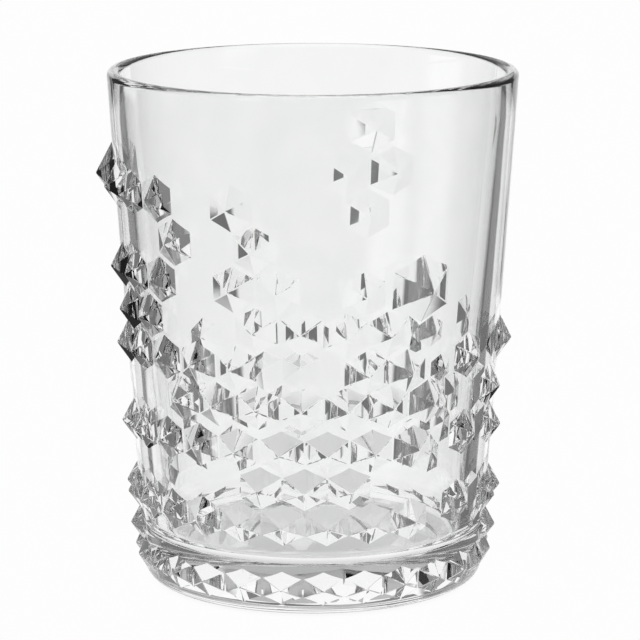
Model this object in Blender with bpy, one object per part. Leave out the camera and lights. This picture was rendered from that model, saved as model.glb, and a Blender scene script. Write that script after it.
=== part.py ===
"""Whiskey tumbler of clear pressed glass, in metres, +Z up, standing on z = 0 with its axis on Z.

The real glass is one piece. It is drawn here as the five zones that a glassmaker names, each a
closed solid, which meet face to face with a hair gap: lip, bowl wall with its studs, base slab,
belt of gems and foot ring.

The wall is dressed with six-sided pyramids on a honeycomb. Angles run round the glass from the
front, which faces -Y, and grow towards +X.
"""

import math

import bmesh
import bpy
from mathutils import Matrix, Vector

# Overall sizes.
HEIGHT = 0.1009
RIM_RADIUS = 0.0400  # outside of the lip
BASE_RADIUS = 0.0333  # outside of the wall, carried straight down to the table

# Glass thicknesses.
RIM_WALL = 0.0026
FLOOR_WALL = 0.0046  # wall where it meets the floor of the bowl
FLOOR_HEIGHT = 0.0095  # top of the thick bottom above the table
FLOOR_CORNER = 0.0030  # rounding between floor and wall

# Zones of the glass, upwards from the table, and the gap that keeps their faces apart.
GAP = 0.0003
FOOT_HEIGHT = 0.0016
BELT_RISE = 0.0003  # top of the belt and edge of the base slab, above the floor of the bowl
LIP_HEIGHT = 0.0029
FOOT_FILLET = 0.0030  # rounding of the outer bottom edge
FOOT_RING_WIDTH = 0.0050  # flat that the glass stands on
BASE_RECESS = 0.0008  # underside of the slab above the table
SLAB_LEDGE = 0.0009  # how far the base slab reaches out under the wall

# Honeycomb of studs.
COLUMNS = 27
FRONT_COLUMN = 11  # column that stands at FRONT_ANGLE in the even rows
FRONT_ANGLE = -23.33  # odd rows sit half a column back
LOW_ROWS = 8  # from this row down the cells are wider: one column fewer, and a step further down
LOW_ROWS_DROP = 0.0012
TOP_ROW_DROP = 0.0056  # middle of the top row below the lip
BOTTOM_ROW_RISE = 0.0098  # middle of the bottom row above the belt, before its step down
SEAM = 0.00055  # smooth strip left between neighbouring studs
STUD_RISE = 0.31  # height of a stud over the width of its cell
STEM = 0.0013  # how far a stud is rooted in the wall

# Belt of gems.
GEM_MARGIN = 0.00025  # smooth strip above and below a gem
GEM_RISE = 0.0017

# Rows of the honeycomb from the lip down, one mark for each column: # is a stud, . is smooth.
ROWS = (
    "...........................",
    "...........................",
    ".......###.#...............",
    "..........#.#..............",
    ".......###.##..............",
    "........##..##.............",
    ".......#####.......#.#.....",
    "...#......#######.......#..",
    "##.##..#########..#..##.#.",
    ".##.#.......###.......##.#",
    "#.##.###########..##..##..",
)

# Studs off the honeycomb: (angle, row that they would sit in, size over that of a cell there).
LOOSE_STUDS = (
    (16.0, 0.05, 1.00),
    (8.9, 1.10, 1.00),
    (22.3, 1.10, 1.00),
    (15.1, 2.10, 1.00),
    (14.7, 4.10, 1.00),
    (9.4, 5.10, 1.00),
    (22.0, 5.12, 1.00),
    (15.7, 6.10, 1.00),
    (29.1, 6.12, 1.00),
    (-89.0, 1.83, 0.97),
    (33.1, 4.04, 1.48),
    (37.0, 5.17, 0.68),
    (41.3, 6.16, 0.60),
    (54.0, 6.00, 1.03),
    (41.5, 7.15, 0.60),
    (70.0, 7.05, 1.00),
    (54.0, 7.90, 1.08),
    (52.5, 9.80, 1.08),
    (-84.0, 11.05, 0.90),
    (82.0, 11.05, 0.90),
)

SEGMENTS = 3 * COLUMNS
ARC_STEPS = 6

GLASS = (0.90, 0.93, 0.92, 1.0)


# ---- the turned shape -------------------------------------------------------------------------

TAPER = (RIM_RADIUS - BASE_RADIUS) / HEIGHT
TAPER_ANGLE = math.atan(TAPER)
LIP_BASE = HEIGHT - LIP_HEIGHT
BELT_TOP = FLOOR_HEIGHT + BELT_RISE


def outer_radius(height):
    return BASE_RADIUS + TAPER * height


def inner_radius(height):
    """The inner wall is a straight cone from the floor to the lip, thicker towards the floor."""
    up = (height - FLOOR_HEIGHT) / (HEIGHT - FLOOR_HEIGHT)
    return outer_radius(height) - FLOOR_WALL + (FLOOR_WALL - RIM_WALL) * up


def arc(centre, radius, start, end):
    """Points of (radius, height) on an arc, in degrees from +X towards +Z."""
    angles = [math.radians(start + (end - start) * i / ARC_STEPS) for i in range(ARC_STEPS + 1)]
    return [(centre[0] + radius * math.cos(a), centre[1] + radius * math.sin(a)) for a in angles]


def angle_at(height, centre, radius):
    """Where an arc passes a height, in degrees from +X towards +Z."""
    return math.degrees(math.asin(max(-1.0, min(1.0, (height - centre[1]) / radius))))


def foot_profile(low, high):
    """The rounded bottom edge between two heights."""
    centre = (outer_radius(FOOT_FILLET) - FOOT_FILLET, FOOT_FILLET)
    ends = (angle_at(low, centre, FOOT_FILLET), angle_at(high, centre, FOOT_FILLET))
    return arc(centre, FOOT_FILLET, *ends)


def floor_profile(low, high):
    """The rounded corner of the bowl's floor between two heights."""
    height = FLOOR_HEIGHT + FLOOR_CORNER
    centre = (inner_radius(height) - FLOOR_CORNER, height)
    ends = (angle_at(low, centre, FLOOR_CORNER), angle_at(high, centre, FLOOR_CORNER))
    return arc(centre, FLOOR_CORNER, *ends)


def glass(name):
    material = bpy.data.materials.new(name)
    material.use_nodes = True
    shader = material.node_tree.nodes["Principled BSDF"]
    shader.inputs["Base Color"].default_value = GLASS
    shader.inputs["Roughness"].default_value = 0.03
    shader.inputs["Metallic"].default_value = 0.0
    shader.inputs["IOR"].default_value = 1.52
    shader.inputs["Transmission Weight"].default_value = 1.0
    return material


def add_object(name, bm):
    mesh = bpy.data.meshes.new(name)
    bmesh.ops.recalc_face_normals(bm, faces=bm.faces)
    bm.to_mesh(mesh)
    bm.free()
    obj = bpy.data.objects.new(name, mesh)
    bpy.context.scene.collection.objects.link(obj)
    return obj


def turned(name, outline):
    """A closed outline of (radius, height) points spun round Z; one end may run along the axis."""
    bm = bmesh.new()
    ring = [bm.verts.new((radius, 0.0, height)) for radius, height in outline]
    pairs = list(zip(ring, ring[1:] + ring[:1]))
    edges = [bm.edges.new(pair) for pair in pairs if max(pair[0].co.x, pair[1].co.x) > 0]
    bmesh.ops.spin(
        bm,
        geom=ring + edges,
        cent=(0, 0, 0),
        axis=(0, 0, 1),
        angle=math.tau,
        steps=SEGMENTS,
        use_merge=True,
    )
    bmesh.ops.remove_doubles(bm, verts=bm.verts, dist=1e-6)
    obj = add_object(name, bm)
    obj.data.shade_smooth()
    obj.data.set_sharp_from_angle(angle=math.radians(30))
    obj.data.materials.append(glass(name))
    return obj


# ---- the studs --------------------------------------------------------------------------------


def columns_in(row):
    return COLUMNS if row < LOW_ROWS else COLUMNS - 1


def cell_width(height, columns=COLUMNS):
    return math.tau * outer_radius(height) / columns


def even_height(row):
    """Cells shrink with the taper, so the rows close up towards the base."""
    top, bottom = HEIGHT - TOP_ROW_DROP, BELT_TOP + BOTTOM_ROW_RISE
    closing = math.log(outer_radius(top) / outer_radius(bottom)) / 2
    down = row / (len(ROWS) - 1)
    return top - (top - bottom) * (down + closing * down * (1 - down))


def row_height(row):
    return even_height(row) - (LOW_ROWS_DROP if row > LOW_ROWS - 0.5 else 0)


def cell_height(row):
    """Hexagons of a honeycomb are four thirds as tall as their rows are apart."""
    return (even_height(row - 0.5) - even_height(row + 0.5)) * 4 / 3


def column_angle(column, row):
    return FRONT_ANGLE + (column - FRONT_COLUMN - (row % 2) / 2) * 360.0 / columns_in(row)


def on_wall(angle, height):
    """Matrix of a place on the outer wall: X round the glass, Y up along the wall, Z outwards."""
    turn = Matrix.Rotation(math.radians(angle), 4, "Z")
    stand = Matrix.Rotation(math.pi / 2 + TAPER_ANGLE, 4, "X")
    return turn @ Matrix.Translation((0, -outer_radius(height), height)) @ stand


def add_stud(bm, place, width, tall, rise):
    """A six-sided pyramid, point up the wall, on a straight stem rooted in the glass."""
    corners = []
    for i in range(6):
        corner = math.radians(60 * i + 30)
        corners.append(Vector((width / math.sqrt(3) * math.cos(corner), tall / 2 * math.sin(corner), 0)))
    # The corners beside the middle sit on the round wall, below the plane that touches it.
    sunk = Vector((0, 0, -(width**2) / 8 / place.translation.xy.length))
    root = [bm.verts.new(place @ (c + Vector((0, 0, -STEM)))) for c in corners]
    rim = [bm.verts.new(place @ (c + sunk)) for c in corners]
    tip = bm.verts.new(place @ Vector((0, 0, rise)))
    bm.faces.new(root)
    for i in range(6):
        j = (i + 1) % 6
        bm.faces.new((root[i], root[j], rim[j], rim[i]))
        bm.faces.new((rim[i], rim[j], tip))


def stud_at(bm, angle, row, size):
    height = row_height(row)
    width = cell_width(height, columns_in(row)) * size
    tall = cell_height(row) * size
    trim = (width - SEAM) / width
    add_stud(bm, on_wall(angle, height), width * trim, tall * trim, STUD_RISE * width)


def trim_level(bm, height, side):
    """Cuts the studs that would run past an edge of the wall, and closes the cuts."""
    whole = bm.verts[:] + bm.edges[:] + bm.faces[:]
    plane = {"plane_co": (0, 0, height), "plane_no": (0, 0, side)}
    cut = bmesh.ops.bisect_plane(bm, geom=whole, clear_outer=True, **plane)
    rims = [part for part in cut["geom_cut"] if isinstance(part, bmesh.types.BMEdge)]
    bmesh.ops.holes_fill(bm, edges=rims)


def joined(obj, name, bm):
    """Fuses what the mesh holds to the object, and leaves the mesh behind as a hidden guide."""
    tool = add_object(name, bm)
    tool.hide_render = True
    tool.display_type = "WIRE"
    union = obj.modifiers.new(name, "BOOLEAN")
    union.operation = "UNION"
    union.solver = "EXACT"
    union.use_self = True
    union.object = tool


# ---- the zones --------------------------------------------------------------------------------


def make_lip():
    low, middle = LIP_BASE + GAP / 2, HEIGHT - RIM_WALL / 2
    centre = ((outer_radius(middle) + inner_radius(middle)) / 2, middle)
    bead = arc(centre, RIM_WALL / 2, 0, 180)
    return turned("lip", [(outer_radius(low), low), *bead, (inner_radius(low), low)])


def make_bowl_wall():
    low, high = BELT_TOP + GAP, LIP_BASE - GAP / 2
    outline = [(outer_radius(low), low), (outer_radius(high), high), (inner_radius(high), high)]
    outline += floor_profile(FLOOR_HEIGHT + FLOOR_CORNER, low)
    wall = turned("bowl_wall", outline)
    studs = bmesh.new()
    for row, marks in enumerate(ROWS):
        for column, mark in enumerate(marks):
            if mark == "#":
                stud_at(studs, column_angle(column, row), row, 1.0)
    for angle, row, size in LOOSE_STUDS:
        stud_at(studs, angle, row, size)
    trim_level(studs, high - GAP, 1)
    trim_level(studs, low + GAP, -1)
    joined(wall, "wall_studs", studs)
    return wall


def belt_seat():
    """Radius of the base slab where the belt goes round it."""
    return floor_profile(BELT_TOP, FLOOR_HEIGHT)[0][0] + SLAB_LEDGE


def foot_inner():
    return outer_radius(FOOT_FILLET) - FOOT_FILLET - FOOT_RING_WIDTH


def make_base_slab():
    """The thick bottom, a plug inside the belt; its upper face is the floor of the bowl."""
    seat = belt_seat()
    step = foot_inner() - GAP
    outline = [(0, BASE_RECESS), (step, BASE_RECESS), (step, FOOT_HEIGHT + GAP)]
    outline += [(seat, FOOT_HEIGHT + GAP), (seat, BELT_TOP)]
    outline += [*floor_profile(BELT_TOP, FLOOR_HEIGHT), (0, FLOOR_HEIGHT)]
    return turned("base_slab", outline)


def make_gem_belt():
    inner = belt_seat() + GAP
    low = FOOT_HEIGHT + GAP
    outline = [(inner, low), *foot_profile(low, FOOT_FILLET)]
    outline += [(outer_radius(BELT_TOP), BELT_TOP), (inner, BELT_TOP)]
    belt = turned("gem_belt", outline)
    gems = bmesh.new()
    middle, tall = (low + BELT_TOP) / 2, BELT_TOP - low - 2 * GEM_MARGIN
    width = cell_width(middle) - SEAM
    for column in range(COLUMNS):
        add_stud(gems, on_wall(column_angle(column, 0), middle), width, tall, GEM_RISE)
    joined(belt, "belt_gems", gems)
    return belt


def make_foot_ring():
    outline = [(foot_inner(), 0), *foot_profile(0, FOOT_HEIGHT), (foot_inner(), FOOT_HEIGHT)]
    return turned("foot_ring", outline)


def main():
    for obj in list(bpy.data.objects):
        bpy.data.objects.remove(obj, do_unlink=True)
    make_lip()
    make_bowl_wall()
    make_base_slab()
    make_gem_belt()
    make_foot_ring()


main()
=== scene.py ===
# %% [markdown]
# # A whiskey tumbler of clear pressed glass
#
# The glass is one piece: a tapered cup with a rounded lip, a thick bottom, a honeycomb of
# six-sided studs on its outside and a belt of gems round the bottom. The engineering model
# splits it into five zones. Here it is drawn again as one unbroken skin, because light that
# crosses a gap inside clear glass would show every split as a bright line.

# %% Load the frame
import math

import bpy
from mathutils import Matrix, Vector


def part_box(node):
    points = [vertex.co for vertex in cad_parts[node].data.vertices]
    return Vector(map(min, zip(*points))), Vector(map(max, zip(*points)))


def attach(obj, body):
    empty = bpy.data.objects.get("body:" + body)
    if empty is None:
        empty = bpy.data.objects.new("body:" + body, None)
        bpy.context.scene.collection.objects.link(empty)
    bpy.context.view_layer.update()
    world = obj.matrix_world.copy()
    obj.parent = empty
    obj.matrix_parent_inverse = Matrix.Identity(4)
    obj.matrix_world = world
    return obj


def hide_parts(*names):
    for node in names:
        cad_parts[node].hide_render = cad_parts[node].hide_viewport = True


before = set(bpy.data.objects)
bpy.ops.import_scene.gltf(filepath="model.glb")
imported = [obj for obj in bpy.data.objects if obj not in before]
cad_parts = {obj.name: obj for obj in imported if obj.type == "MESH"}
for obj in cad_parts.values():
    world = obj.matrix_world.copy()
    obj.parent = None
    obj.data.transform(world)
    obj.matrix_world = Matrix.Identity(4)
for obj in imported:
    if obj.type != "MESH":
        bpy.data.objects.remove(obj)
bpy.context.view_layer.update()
print("nodes:", ", ".join(sorted(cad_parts)))

# %% [markdown]
# ## Camera
#
# A long lens from some way off keeps the sides of a glass straight. The camera looks a little
# down into it. It comes first, so that every later step can be judged through it.

# %% Camera
CAMERA_AWAY = 0.650
CAMERA_HEIGHT = 0.1857
CAMERA_DOWN = math.radians(11.714)
CAMERA_RIGHT = math.radians(0.1224)
LENS = 189.7

scene = bpy.context.scene
camera = bpy.data.objects.new("camera", bpy.data.cameras.new("camera"))
scene.collection.objects.link(camera)
camera.data.sensor_width = 36.0
camera.data.lens = LENS
camera.data.clip_start, camera.data.clip_end = 0.01, 20.0
camera.location = (0.0, -CAMERA_AWAY, CAMERA_HEIGHT)
camera.rotation_euler = (math.pi / 2 - CAMERA_DOWN, 0.0, -CAMERA_RIGHT)
scene.camera = camera
print("camera", CAMERA_AWAY, "m in front and", CAMERA_HEIGHT, "m up")

# %% [markdown]
# ## Sizes of the cup
#
# The frame gives the height and the recess under the bottom. The rest is what a mould maker
# chooses: the two radii, how thick the wall is at the rim and at the floor, and how the corners
# are rounded. The wall tapers in a straight line outside and inside, so two small functions give
# its radius at any height.

# %% Sizes of the cup
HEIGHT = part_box("lip")[1].z
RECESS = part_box("base_slab")[0].z
RIM_RADIUS = 0.0400
BASE_RADIUS = 0.0333
RIM_WALL = 0.0026
FLOOR_WALL = 0.0046
FLOOR_HEIGHT = 0.0095
FLOOR_CORNER = 0.0030
FOOT_FILLET = 0.0030
FOOT_RING_WIDTH = 0.0050
TAPER = (RIM_RADIUS - BASE_RADIUS) / HEIGHT


def outer_radius(height):
    return BASE_RADIUS + TAPER * height


def inner_radius(height):
    up = (height - FLOOR_HEIGHT) / (HEIGHT - FLOOR_HEIGHT)
    return outer_radius(height) - FLOOR_WALL + (FLOOR_WALL - RIM_WALL) * up


print(f"{1000 * HEIGHT:.1f} mm high, {2000 * RIM_RADIUS:.1f} mm over the lip")

# %% [markdown]
# ## Working by hand, in code
#
# An operator acts on everything that is selected, so each step first says what it acts on.
# `alone` selects one object and nothing else, `edit` opens it with nothing selected inside, and
# `pick` opens it with the edges or faces selected whose corners all pass a test.

# %% Helpers for edit mode


def near(a, b, slack=1e-5):
    return abs(a - b) < slack


def alone(obj):
    bpy.ops.object.select_all(action="DESELECT")
    obj.select_set(True)
    bpy.context.view_layer.objects.active = obj


def edit(obj, kind="EDGE"):
    alone(obj)
    bpy.ops.object.mode_set(mode="EDIT")
    bpy.ops.mesh.select_mode(type=kind)
    bpy.ops.mesh.select_all(action="DESELECT")


def close():
    bpy.ops.object.mode_set(mode="OBJECT")


def pick(obj, kind, test, enough=all):
    edit(obj, kind)
    close()
    corners = obj.data.vertices
    parts = obj.data.edges if kind == "EDGE" else obj.data.polygons
    for part in parts:
        part.select = enough(test(corners[i].co) for i in part.vertices)
    bpy.ops.object.mode_set(mode="EDIT")
    return sum(part.select for part in parts)


print("helpers ready")

# %% [markdown]
# ## The blank
#
# In the works a plunger presses a gob of glass into a mould, which leaves a tapered cup. A turned
# profile with the Screw modifier could make it. A cone frustum is nearer to the real thing, and
# every later step has a clean ring of edges to hold: its top face is inset by the thickness of
# the lip, pushed down to the floor, and scaled to the width of the floor.

# %% Frustum and bowl
SIDES = 360

bpy.ops.object.select_all(action="DESELECT")
bpy.ops.mesh.primitive_cone_add(
    vertices=SIDES,
    radius1=BASE_RADIUS,
    radius2=RIM_RADIUS,
    depth=HEIGHT,
    location=(0, 0, HEIGHT / 2),
)
tumbler = bpy.context.object
tumbler.name = tumbler.data.name = "tumbler"
bpy.ops.object.transform_apply(location=True, rotation=True, scale=True)

pick(tumbler, "FACE", lambda co: near(co.z, HEIGHT))
bpy.ops.mesh.inset(thickness=RIM_WALL)
bpy.ops.mesh.extrude_region_move(TRANSFORM_OT_translate={"value": (0, 0, FLOOR_HEIGHT - HEIGHT)})
shrink = inner_radius(FLOOR_HEIGHT) / inner_radius(HEIGHT)
bpy.ops.transform.resize(value=(shrink, shrink, 1), center_override=(0, 0, FLOOR_HEIGHT))
close()
print("blank:", len(tumbler.data.vertices), "corners")

# %% [markdown]
# ## Roundings
#
# Pressed glass has no sharp corners. The foot and the corner of the floor follow the mould's own
# radii. The lip is melted round in a flame afterwards, so its two edges are bevelled by nearly
# half its thickness and meet in a bead. A ring of edges is found by its height and its radius.

# %% Roundings
RING_SLACK = 2e-4
CORNER_STEPS = 12
LIP_STEPS = 16
LIP_BEAD = 0.485 * RIM_WALL


def is_ring(radius, height):
    return lambda co: near(co.z, height) and near(co.xy.length, radius, RING_SLACK)


for radius, height, offset, steps in (
    (BASE_RADIUS, 0.0, FOOT_FILLET, CORNER_STEPS),
    (inner_radius(FLOOR_HEIGHT), FLOOR_HEIGHT, FLOOR_CORNER, CORNER_STEPS),
):
    found = pick(tumbler, "EDGE", is_ring(radius, height))
    bpy.ops.mesh.bevel(offset=offset, segments=steps, profile=0.5, clamp_overlap=False)
    close()
    print("rounded", found, "edges at", round(1000 * height, 1), "mm")

outside = pick(tumbler, "EDGE", is_ring(RIM_RADIUS, HEIGHT))
close()
inside_ring = is_ring(inner_radius(HEIGHT), HEIGHT)
for part in tumbler.data.edges:
    ends = [tumbler.data.vertices[i].co for i in part.vertices]
    part.select = part.select or all(inside_ring(co) for co in ends)
bpy.ops.object.mode_set(mode="EDIT")
bpy.ops.mesh.bevel(offset=LIP_BEAD, segments=LIP_STEPS, profile=0.5, clamp_overlap=False)
close()
print("lip rounded from", outside, "edges outside and as many inside")

# %% [markdown]
# ## Underside
#
# The glass stands on a ring, not on its whole bottom, so that it doesn't rock. The flat inside
# the foot's rounding is inset by the width of that ring, and the middle is pushed up.

# %% Underside
foot_flat = outer_radius(FOOT_FILLET) - FOOT_FILLET
pick(tumbler, "FACE", lambda co: near(co.z, 0.0) and co.xy.length < foot_flat + RING_SLACK)
bpy.ops.mesh.inset(thickness=FOOT_RING_WIDTH)
bpy.ops.mesh.extrude_region_move(TRANSFORM_OT_translate={"value": (0, 0, RECESS)})
close()
print("underside recessed by", round(1000 * RECESS, 2), "mm")

# %% [markdown]
# ## Rings along the wall
#
# The wall is still one tall face for each side. Faces that long and thin make the studs' cut
# lines come out ragged, so the wall is bisected level by level into short faces.

# %% Rings along the wall
ABOVE_CORNER = 0.0005
FIRST_RING = FLOOR_HEIGHT + FLOOR_CORNER + ABOVE_CORNER
RING_STEP = 0.004
RINGS = 21

for ring in range(RINGS):
    edit(tumbler)
    bpy.ops.mesh.select_all(action="SELECT")
    level = FIRST_RING + RING_STEP * ring
    bpy.ops.mesh.bisect(plane_co=(0, 0, level), plane_no=(0, 0, 1))
    close()
print(len(tumbler.data.polygons), "faces on the blank")

# %% [markdown]
# ## Where the studs sit
#
# The mould's relief is a honeycomb: rows of six-sided cells, each row set half a cell to the
# side of the last. Low down the cells run close together, and higher up most are left out, so
# the pattern seems to crumble away towards the rim. Each line below is one row from the top, and
# a mark is a cell with a stud. A few studs stand off the grid and are given by angle, row and
# size.

# %% Pattern of studs
COLUMNS = 27
FRONT_COLUMN = 11
FRONT_ANGLE = -23.33
LOW_ROWS = 8
LOW_ROWS_DROP = 0.0012
TOP_ROW_DROP = 0.0056
BELT_RISE = 0.0003
BELT_TOP = FLOOR_HEIGHT + BELT_RISE
BOTTOM_ROW_RISE = 0.0098

ROWS = (
    "...........................",
    "...........................",
    ".......###.#...............",
    "..........#.#..............",
    ".......###.##..............",
    "........##..##.............",
    ".......#####.......#.#.....",
    "...#......#######.......#..",
    "##.##..#########..#..##.#.",
    ".##.#.......###.......##.#",
    "#.##.###########..##..##..",
)
LOOSE_STUDS = (
    (16.0, 0.05, 1.00),
    (8.9, 1.10, 1.00),
    (22.3, 1.10, 1.00),
    (15.1, 2.10, 1.00),
    (14.7, 4.10, 1.00),
    (9.4, 5.10, 1.00),
    (22.0, 5.12, 1.00),
    (15.7, 6.10, 1.00),
    (29.1, 6.12, 1.00),
    (-89.0, 1.83, 1.33),
    (33.1, 4.04, 1.48),
    (37.0, 5.17, 0.68),
    (41.3, 6.16, 0.60),
    (54.0, 6.00, 1.03),
    (41.5, 7.15, 0.60),
    (70.0, 7.05, 1.00),
    (54.0, 7.90, 1.08),
    (52.5, 9.80, 1.08),
    (-84.0, 11.05, 0.90),
    (82.0, 11.05, 0.90),
)


def columns_in(row):
    return COLUMNS if row < LOW_ROWS else COLUMNS - 1


def cell_width(height, columns=COLUMNS):
    return math.tau * outer_radius(height) / columns


def even_height(row):
    """Cells shrink with the taper, so the rows close up towards the base."""
    top, bottom = HEIGHT - TOP_ROW_DROP, BELT_TOP + BOTTOM_ROW_RISE
    closing = math.log(outer_radius(top) / outer_radius(bottom)) / 2
    down = row / (len(ROWS) - 1)
    return top - (top - bottom) * (down + closing * down * (1 - down))


def row_height(row):
    return even_height(row) - (LOW_ROWS_DROP if row > LOW_ROWS - 0.5 else 0)


def cell_height(row):
    """Cells of a honeycomb are four thirds as tall as their rows are apart."""
    return (even_height(row - 0.5) - even_height(row + 0.5)) * 4 / 3


def column_angle(column, row):
    return FRONT_ANGLE + (column - FRONT_COLUMN - (row % 2) / 2) * 360.0 / columns_in(row)


spots = [
    (column_angle(column, row), row, 1.0)
    for row, marks in enumerate(ROWS)
    for column, mark in enumerate(marks)
    if mark == "#"
]
spots += LOOSE_STUDS
print(len(spots), "studs in", len(ROWS), "rows")

# %% [markdown]
# ## One stud
#
# A stud is a six-sided pyramid. Its ridges were ground into the mould and then softened by the
# fire, which shows as a thin bright line on every ridge. So a six-sided cone is given a stem that
# reaches into the wall, scaled to the height of its cell, and its ridges get a narrow bevel. It
# is modelled once for each size at the origin, point up.

# %% Model a stud
SEAM = 0.00038
STUD_RISE = 0.31
STEM = 0.0013
SOFT_EDGE = 0.00014


def model_stud(name, width, tall, rise, radius):
    """A pyramid of this width and height, standing on a wall of this radius."""
    sunk = width**2 / 8 / radius
    bpy.ops.object.select_all(action="DESELECT")
    bpy.ops.mesh.primitive_cone_add(
        vertices=6,
        radius1=width / math.sqrt(3),
        radius2=0.0,
        depth=rise + sunk,
        location=(0, 0, (rise - sunk) / 2),
    )
    stud = bpy.context.object
    stud.name = name
    bpy.ops.object.transform_apply(location=True, rotation=True, scale=True)
    pick(stud, "FACE", lambda co: near(co.z, -sunk))
    bpy.ops.mesh.extrude_region_move(TRANSFORM_OT_translate={"value": (0, 0, -STEM)})
    bpy.ops.mesh.select_all(action="SELECT")
    stretch = tall / (width * 2 / math.sqrt(3))
    bpy.ops.transform.resize(value=(1, stretch, 1), center_override=(0, 0, 0))
    close()
    pick(stud, "EDGE", lambda co: near(co.z, rise), enough=any)
    bpy.ops.mesh.bevel(offset=SOFT_EDGE, segments=2, profile=0.5, clamp_overlap=False)
    close()
    return stud


print("a stud rises", STUD_RISE, "of its width")

# %% [markdown]
# ## Setting the studs
#
# The wall leans outwards, so a stud is turned to stand square to it. Each copy gets its own mesh,
# with its place worked into the mesh, and the pattern piece is thrown away afterwards.

# %% Set the studs


def on_wall(angle, height):
    turn = Matrix.Rotation(math.radians(angle), 4, "Z")
    stand = Matrix.Rotation(math.pi / 2 + math.atan(TAPER), 4, "X")
    return turn @ Matrix.Translation((0, -outer_radius(height), height)) @ stand


def copy_at(pattern, angle, height):
    twin = pattern.copy()
    twin.data = pattern.data.copy()
    scene.collection.objects.link(twin)
    twin.data.transform(on_wall(angle, height))
    return twin


def make_studs():
    patterns, made = {}, []
    for angle, row, size in spots:
        height = row_height(row)
        width = cell_width(height, columns_in(row)) * size
        tall = cell_height(row) * size * (1 - SEAM / width)
        if (row, size) not in patterns:
            radius = outer_radius(height)
            patterns[row, size] = model_stud("stud", width - SEAM, tall, STUD_RISE * width, radius)
        made.append(copy_at(patterns[row, size], angle, height))
    for pattern in patterns.values():
        bpy.data.objects.remove(pattern)
    return made


studs = make_studs()
print(len(studs), "studs set")

# %% [markdown]
# ## Gems round the bottom
#
# A belt of flatter, taller cells runs round the thick bottom, one under each column of studs.
# They are the same six-sided pyramids, pressed less deep.

# %% Gems
GEM_HEIGHT = 0.0058
GEM_TALL = 0.0074
GEM_RISE = 0.0017

gem_radius = outer_radius(GEM_HEIGHT)
gem = model_stud("gem", cell_width(GEM_HEIGHT) - SEAM, GEM_TALL, GEM_RISE, gem_radius)
gems = [copy_at(gem, column_angle(column, 0), GEM_HEIGHT) for column in range(COLUMNS)]
bpy.data.objects.remove(gem)
print(len(gems), "gems")

# %% [markdown]
# ## Fusing
#
# Studs, gems and cup are one glass. All the relief is joined into one object, cut off level
# below the lip, and united with the cup by a Boolean with the exact solver. That solver also
# resolves the places where two stems cross, because `use_self` is on. It leaves a few slivers
# thinner than a hair, which are merged away so that the skin is one clean closed mesh.

# %% Fuse
SLIVER = 3e-6

bpy.ops.object.select_all(action="DESELECT")
for obj in studs + gems:
    obj.select_set(True)
bpy.context.view_layer.objects.active = studs[0]
bpy.ops.object.join()
relief = bpy.context.object
relief.name = "relief"
edit(relief)
bpy.ops.mesh.select_all(action="SELECT")
lip_starts = HEIGHT - RIM_WALL
bpy.ops.mesh.bisect(
    plane_co=(0, 0, lip_starts), plane_no=(0, 0, 1), clear_outer=True, use_fill=True
)
close()

alone(tumbler)
union = tumbler.modifiers.new("studs", "BOOLEAN")
union.operation = "UNION"
union.solver = "EXACT"
union.use_self = True
union.object = relief
bpy.ops.object.modifier_apply(modifier=union.name)
bpy.data.objects.remove(relief)

edit(tumbler)
bpy.ops.mesh.select_all(action="SELECT")
bpy.ops.mesh.remove_doubles(threshold=SLIVER)
bpy.ops.mesh.select_all(action="SELECT")
bpy.ops.mesh.dissolve_degenerate(threshold=SLIVER)
close()
print("fused:", len(tumbler.data.polygons), "faces")

# %% [markdown]
# ## Round and flat
#
# Light bends at the angle that the shading gives, so glass needs its round faces smooth and its
# facets truly flat. Smoothing by angle does both: the steps of the round walls are under eight
# degrees, and even the narrow bevels of the ridges turn by more than that.

# %% Smooth
ROUND_BELOW = math.radians(8.5)

alone(tumbler)
bpy.ops.object.shade_smooth_by_angle(angle=ROUND_BELOW)
print("smooth up to", round(math.degrees(ROUND_BELOW), 1), "degrees")

# %% [markdown]
# ## Nodes as sums
#
# A shader is easier to read as an expression than as a list of links. `Wire` holds the output of
# a node. Adding to it or multiplying it makes the Math node, and `Wire.node` makes any other
# node from its type, its settings and the values of its sockets.

# %% Wire


class Wire:
    def __init__(self, tree, socket):
        self.tree, self.socket = tree, socket

    @classmethod
    def node(cls, tree, kind, settings, values, output=0):
        made = tree.nodes.new(kind)
        for name, value in settings.items():
            setattr(made, name, value)
        for key, value in values.items():
            if isinstance(value, cls):
                tree.links.new(value.socket, made.inputs[key])
            else:
                made.inputs[key].default_value = value
        return cls(tree, made.outputs[output]) if made.outputs else None

    def math(self, operation, *values):
        inputs = dict(enumerate((self, *values)))
        return self.node(self.tree, "ShaderNodeMath", {"operation": operation}, inputs)

    def __add__(self, other):
        return self.math("ADD", other)

    def __mul__(self, other):
        return self.math("MULTIPLY", other)

    def __sub__(self, other):
        return self.math("SUBTRACT", other)

    def __rsub__(self, other):
        return self * -1 + other

    __radd__ = __add__
    __rmul__ = __mul__

    def rises(self, start, end, low=0.0, high=1.0):
        """Goes smoothly from low to high while this value goes from start to end."""
        ramp = {"interpolation_type": "SMOOTHSTEP"}
        values = {"Value": self, "From Min": start, "From Max": end, "To Min": low, "To Max": high}
        return self.node(self.tree, "ShaderNodeMapRange", ramp, values, "Result")


print("wires ready")

# %% [markdown]
# ## Pressed glass
#
# Clear glass is a dielectric: it tints light hardly at all and bends it by its index, 1.52. Two
# things tell pressed glass from a perfect block. The mould's chill leaves slow waves in the
# skin, and the polish differs a little from place to place. Both come from noise on Object
# coordinates: long and short waves as a bump, patches as roughness, and a faint grey-green cast
# that is stronger in some patches.

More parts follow.
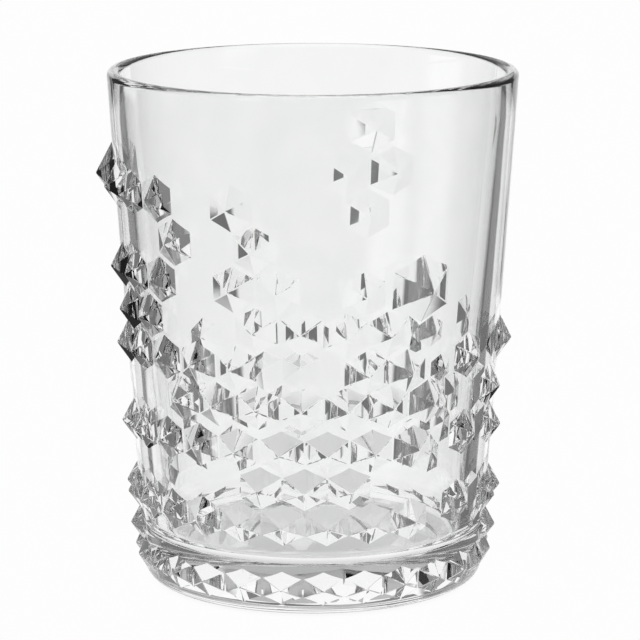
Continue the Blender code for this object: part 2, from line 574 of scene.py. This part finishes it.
# %% Pressed glass
GLASS_INDEX = 1.52
LONG_WAVES = 90.0
SHORT_WAVES = 520.0
WAVE_DEPTH = 0.000012
SHORT_SHARE = 0.07
POLISH_PATCHES = 140.0
PATCH_LIMITS = (0.35, 0.65)
POLISH = (0.0, 0.012)
CAST_WEAK = (0.990, 0.994, 0.992, 1.0)
CAST_STRONG = (0.972, 0.980, 0.976, 1.0)
COLOUR_A, COLOUR_B, COLOUR_RESULT = 6, 7, 2  # sockets of a Mix node that mixes colours

pressed_glass = bpy.data.materials.new("pressed_glass")
pressed_glass.use_nodes = True
glass_tree = pressed_glass.node_tree
place = Wire.node(glass_tree, "ShaderNodeTexCoord", {}, {}, "Object")


def noise(scale, detail):
    values = {"Vector": place, "Scale": scale, "Detail": detail}
    return Wire.node(glass_tree, "ShaderNodeTexNoise", {}, values, "Fac")


waves = noise(LONG_WAVES, 1.0) + SHORT_SHARE * noise(SHORT_WAVES, 2.0)
patches = noise(POLISH_PATCHES, 3.0).rises(*PATCH_LIMITS)
skin = Wire.node(
    glass_tree, "ShaderNodeBump", {}, {"Strength": 1.0, "Distance": WAVE_DEPTH, "Height": waves}
)
cast = Wire.node(
    glass_tree,
    "ShaderNodeMix",
    {"data_type": "RGBA"},
    {"Factor": patches, COLOUR_A: CAST_WEAK, COLOUR_B: CAST_STRONG},
    COLOUR_RESULT,
)
roughness = patches * (POLISH[1] - POLISH[0]) + POLISH[0]
glass = glass_tree.nodes["Principled BSDF"]
glass.inputs["IOR"].default_value = GLASS_INDEX
glass.inputs["Transmission Weight"].default_value = 1.0
glass_tree.links.new(cast.socket, glass.inputs["Base Color"])
glass_tree.links.new(roughness.socket, glass.inputs["Roughness"])
glass_tree.links.new(skin.socket, glass.inputs["Normal"])
tumbler.data.materials.clear()
tumbler.data.materials.append(pressed_glass)
print(len(glass_tree.nodes), "nodes in the glass")

# %% [markdown]
# ## Floor
#
# Glass has no colour of its own: what one sees is the room, bent. For glass on white, a maker
# of catalogues stands it on a sheet that glows from below. Under the glass the sheet's glow is
# turned down, a painted shadow, which gives the bottom its soft grey.

# %% Light table
TABLE_RADIUS = 0.050
TABLE_SIDES = 128
TABLE_DROP = 0.0002
# The glow is dimmed under the glass: a painted shadow, from these radii inwards.
PAINTED_SHADOW_RADII = (0.024, 0.0335)
PAINTED_SHADOW_GLOW, TABLE_HIGH = 0.77, 0.985

bpy.ops.object.select_all(action="DESELECT")
bpy.ops.mesh.primitive_circle_add(
    vertices=TABLE_SIDES, radius=TABLE_RADIUS, fill_type="NGON", location=(0, 0, -TABLE_DROP)
)
light_table = bpy.context.object
light_table.name = "light_table"
glow = bpy.data.materials.new("light_table")
glow.use_nodes = True
glow_tree = glow.node_tree
glow_tree.nodes.clear()
spot = Wire.node(glow_tree, "ShaderNodeTexCoord", {}, {}, "Object")
away = Wire.node(glow_tree, "ShaderNodeVectorMath", {"operation": "LENGTH"}, {0: spot}, "Value")
# Painted shadow: the glow is turned down where the glass stands.
glow_with_painted_shadow = away.rises(*PAINTED_SHADOW_RADII, PAINTED_SHADOW_GLOW, TABLE_HIGH)
lamp = Wire.node(glow_tree, "ShaderNodeEmission", {}, {"Color": glow_with_painted_shadow})
Wire.node(glow_tree, "ShaderNodeOutputMaterial", {}, {"Surface": lamp})
light_table.data.materials.append(glow)
print("light table", 2000 * TABLE_RADIUS, "mm across")

# %% [markdown]
# ## Studio
#
# Bright-field light is the classic way to show glass: a white panel behind it, and a dark room
# on all other sides. The white panel makes the glass light, and where a facet or the edge of the
# wall bends the view past the panel, the dark room draws the line. The room is a world shader.
# It works out, for each direction, the angle round the glass and the angle up, and puts soft
# panels there: one behind the glass, one behind it as seen from each of three other sides, and
# three that are overhead or below.

# %% Directions
world = bpy.data.worlds.new("studio")
scene.world = world
world.use_nodes = True
sky = world.node_tree
sky.nodes.clear()
sight = Wire.node(sky, "ShaderNodeTexCoord", {}, {}, "Generated")
east, north, up = (
    Wire.node(sky, "ShaderNodeSeparateXYZ", {}, {"Vector": sight}, axis) for axis in "XYZ"
)
HALF_TURN = 180.0
DEGREES = HALF_TURN / math.pi
around = east.math("ARCTAN2", north) * DEGREES
rise = up.math("ARCSINE") * DEGREES
print("directions in degrees, 0 is straight behind the glass")

# %% [markdown]
# ## Panels
#
# A panel is a window on the two angles with soft edges. The main one reaches from below the
# table to a little above the horizon, and its upper edge climbs to the left. Two narrow strips
# of black card, called flags, stand in front of it, and draw the dark facets of single studs. A
# weaker panel hangs above, for the gems, and two round ones lie straight above and straight
# below. The sides of the room are a lighter grey than its front, which fills the studs at the
# edge of the glass. All angles are in degrees.

# %% Panels
WHITE = 0.985
UPPER_SHARE = 0.38
ROOM = 0.16
SIDE_WALLS = 0.24
WALL_STARTS, WALL_ENDS = (45.0, 75.0), (115.0, 145.0)


def turned_from(centre):
    """The angle between a direction and a panel's middle, 0 to 180."""
    return (around - centre).math("PINGPONG", HALF_TURN)


def panel(centre, half, soft, low, low_soft, high, high_soft):
    """A window half this wide about its centre, from low to high, with edges this soft."""
    across = 1 - turned_from(centre).rises(half, half + soft)
    return across * rise.rises(low - low_soft, low) * (1 - rise.rises(high, high + high_soft))


LEFT_EDGE, RIGHT_EDGE, EDGE_SOFT = -28.0, 28.0, 3.0
TOP_EDGE, TOP_SOFT, TOP_SLANT = 8.3, 1.8, 0.29
LEFT_FLAG = (-27.2, -24.6, -12.1, 2.0)
RIGHT_FLAG = (20.5, 22.8, -12.1, -11.0)
FLAG_SOFT = 0.3


def flag(start, end, bottom, top):
    """A strip of black card in front of the panel."""
    across = around.rises(start - FLAG_SOFT, start) * (1 - around.rises(end, end + FLAG_SOFT))
    return across * rise.rises(bottom - FLAG_SOFT, bottom) * (1 - rise.rises(top, top + FLAG_SOFT))


right_side = 1 - around.rises(RIGHT_EDGE, RIGHT_EDGE + EDGE_SOFT)
left_side = around.rises(LEFT_EDGE - EDGE_SOFT, LEFT_EDGE)
higher_left = rise + TOP_SLANT * around.math("MINIMUM", 0.0)
main_panel = right_side * left_side * (1 - higher_left.rises(TOP_EDGE, TOP_EDGE + TOP_SOFT))
main_panel = main_panel * (1 - flag(*LEFT_FLAG)) * (1 - flag(*RIGHT_FLAG))

BACK_LEFT_PANEL = (-45.0, 6.5, 4.0, -32.0, 3.0, -18.5, 2.0)
LEFT_PANEL = (-90.0, 8.0, 12.0, -9.5, 4.0, 4.0, 6.0)
FRONT_RIGHT_PANEL = (135.0, 7.0, 9.0, -22.0, 4.0, -8.5, 5.0)
UPPER_PANEL = (0.0, 42.0, 14.0, 15.0, 3.0, 48.0, 12.0)
PANEL_BELOW = (-80.0, -60.0)
PANEL_ABOVE = (58.0, 66.0)

panels = [
    main_panel,
    panel(*BACK_LEFT_PANEL),
    panel(*LEFT_PANEL),
    panel(*FRONT_RIGHT_PANEL),
    panel(*UPPER_PANEL) * UPPER_SHARE,
    1 - rise.rises(*PANEL_BELOW),
    rise.rises(*PANEL_ABOVE),
]
print(len(panels), "panels")

# %% Light the studio
light = panels[0]
for extra in panels[1:]:
    light = light.math("MAXIMUM", extra)
sideways = turned_from(0.0)
walls = sideways.rises(*WALL_STARTS) * (1 - sideways.rises(*WALL_ENDS))
room = walls * (SIDE_WALLS - ROOM) + ROOM
brightness = room + light * (WHITE - room)
sky_light = Wire.node(
    sky, "ShaderNodeBackground", {}, {"Color": (1.0, 1.0, 1.0, 1.0), "Strength": brightness}
)
Wire.node(sky, "ShaderNodeOutputWorld", {}, {"Surface": sky_light})
print(len(sky.nodes), "nodes in the room")

# %% [markdown]
# ## Colour and depth of light
#
# The panels' brightness should come out as it was set, so the view is the plain one. Light
# crosses the glass many times between the studs, so it is followed for many bends.

# %% Colour and bends
BENDS = 32

scene.view_settings.view_transform = "Standard"
scene.cycles.max_bounces = BENDS
scene.cycles.transmission_bounces = BENDS
scene.cycles.glossy_bounces = BENDS // 2
print("up to", BENDS, "bends")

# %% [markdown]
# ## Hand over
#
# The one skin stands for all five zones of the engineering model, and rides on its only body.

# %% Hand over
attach(tumbler, "root")
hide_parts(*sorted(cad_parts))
